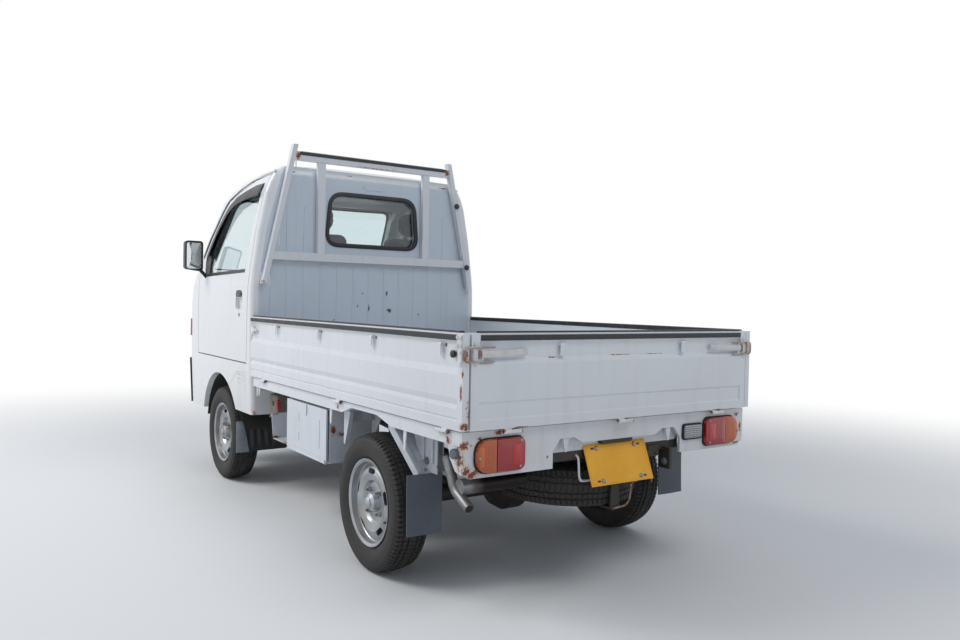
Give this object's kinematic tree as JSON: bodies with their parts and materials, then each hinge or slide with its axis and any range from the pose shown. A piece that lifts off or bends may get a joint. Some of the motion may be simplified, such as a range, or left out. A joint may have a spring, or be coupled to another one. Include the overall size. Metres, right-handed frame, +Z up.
{
  "type": "kei truck",
  "caption": "Small cab-over pickup with a hollow two-seat cab, drop-side bed, guard frame and underslung spare wheel; doors, gates, steering and wheels move.",
  "frame": {"origin": "on the road at the middle of the vehicle's length and width", "axes": "+X to the vehicle's left, +Y to the rear, +Z up"},
  "size_m": [1.632, 3.296, 1.8569],
  "materials": {
    "white_paint": "aged gloss enamel",
    "frame_paint": "underbody black, dusty",
    "silver_paint": "silver wheel paint",
    "bare_steel": "dull, lightly rusted",
    "black_plastic": "grained",
    "grey_plastic": "moulded cabin trim",
    "rubber": "weathered",
    "tyre_rubber": "dusty",
    "clear_glass": "clear",
    "lamp_clear": "fluted lens",
    "lamp_red": "red and amber lens",
    "plate_yellow": "blank yellow plate",
    "seat_cloth": "woven seat cloth with vinyl sides"
  },
  "bodies": {
    "chassis": {"frame": "frame_paint", "cab_front": "white_paint", "cab_side_left": "white_paint", "cab_side_right": "white_paint", "cab_roof": "white_paint", "cab_back": "white_paint", "cab_floor": "frame_paint", "cab_glass": "clear_glass", "bumper_front": "black_plastic", "front_lamps": "lamp_clear", "front_grille": "black_plastic", "dash": "grey_plastic", "seats": "seat_cloth", "engine": "bare_steel", "bed_deck": "white_paint", "bed_frame": "white_paint", "rear_skirt": "white_paint", "rear_lamps": "lamp_red", "number_plate": "plate_yellow", "guard_frame": "white_paint", "tool_box": "white_paint", "fuel_tank": "frame_paint", "exhaust": "bare_steel", "rear_axle": "frame_paint", "front_suspension": "frame_paint", "rear_fenders": "white_paint", "mud_flaps": "rubber", "spare_tyre": "tyre_rubber", "spare_rim": "silver_paint", "spare_carrier": "frame_paint"},
    "door_left": {"door_left": "white_paint", "door_glass_left": "clear_glass", "mirror_left": "black_plastic"},
    "door_right": {"door_right": "white_paint", "door_glass_right": "clear_glass", "mirror_right": "black_plastic"},
    "gate_left": {"gate_left": "white_paint"},
    "gate_right": {"gate_right": "white_paint"},
    "tailgate": {"tailgate": "white_paint"},
    "tool_box_lid": {"tool_box_lid": "white_paint"},
    "steering_wheel": {"steering_wheel": "black_plastic"},
    "knuckle_left": {"knuckle_left": "frame_paint"},
    "knuckle_right": {"knuckle_right": "frame_paint"},
    "wheel_front_left": {"tyre_front_left": "tyre_rubber", "rim_front_left": "silver_paint"},
    "wheel_front_right": {"tyre_front_right": "tyre_rubber", "rim_front_right": "silver_paint"},
    "wheel_rear_left": {"tyre_rear_left": "tyre_rubber", "rim_rear_left": "silver_paint"},
    "wheel_rear_right": {"tyre_rear_right": "tyre_rubber", "rim_rear_right": "silver_paint"}
  },
  "joints": [
    {"name": "door_left_hinge", "type": "hinge", "parent": "chassis", "child": "door_left", "pos_m": [0.693, -1.378, 1], "axis": [0, 0, -1], "range_deg": [0, 65]},
    {"name": "door_right_hinge", "type": "hinge", "parent": "chassis", "child": "door_right", "pos_m": [-0.693, -1.378, 1], "axis": [0, 0, 1], "range_deg": [0, 65]},
    {"name": "gate_left_hinge", "type": "hinge", "parent": "chassis", "child": "gate_left", "pos_m": [0.689, 0.63, 0.63], "axis": [0, 1, 0], "range_deg": [0, 155]},
    {"name": "gate_right_hinge", "type": "hinge", "parent": "chassis", "child": "gate_right", "pos_m": [-0.689, 0.63, 0.63], "axis": [0, -1, 0], "range_deg": [0, 155]},
    {"name": "tailgate_hinge", "type": "hinge", "parent": "chassis", "child": "tailgate", "pos_m": [0, 1.641, 0.63], "axis": [-1, 0, 0], "range_deg": [0, 170]},
    {"name": "tool_box_lid_hinge", "type": "hinge", "parent": "chassis", "child": "tool_box_lid", "pos_m": [0.67, 0.333, 0.35], "axis": [0, -1, 0], "range_deg": [-100, 0]},
    {"name": "steering", "type": "hinge", "parent": "chassis", "child": "steering_wheel", "pos_m": [-0.33, -1.12, 1.075], "axis": [0, 0.6428, 0.766], "range_deg": [-560, 560]},
    {"name": "steer_left", "type": "hinge", "parent": "chassis", "child": "knuckle_left", "pos_m": [0.555, -0.95, 0.187], "axis": [-0.2348, 0, 0.972], "range_deg": [-35, 35]},
    {"name": "steer_right", "type": "hinge", "parent": "chassis", "child": "knuckle_right", "pos_m": [-0.555, -0.95, 0.187], "axis": [0.2348, 0, 0.972], "range_deg": [-35, 35]},
    {"name": "spin_front_left", "type": "hinge", "parent": "knuckle_left", "child": "wheel_front_left", "pos_m": [0.6, -0.95, 0.266], "axis": [1, 0, 0], "continuous": true},
    {"name": "spin_front_right", "type": "hinge", "parent": "knuckle_right", "child": "wheel_front_right", "pos_m": [-0.6, -0.95, 0.266], "axis": [1, 0, 0], "continuous": true},
    {"name": "spin_rear_left", "type": "hinge", "parent": "chassis", "child": "wheel_rear_left", "pos_m": [0.6, 0.935, 0.266], "axis": [1, 0, 0], "continuous": true},
    {"name": "spin_rear_right", "type": "hinge", "parent": "chassis", "child": "wheel_rear_right", "pos_m": [-0.6, 0.935, 0.266], "axis": [1, 0, 0], "continuous": true}
  ],
  "couplings": [
    {"joint": "steer_left", "follows": "steering", "ratio": 0.0625},
    {"joint": "steer_right", "follows": "steering", "ratio": 0.0625}
  ]
}
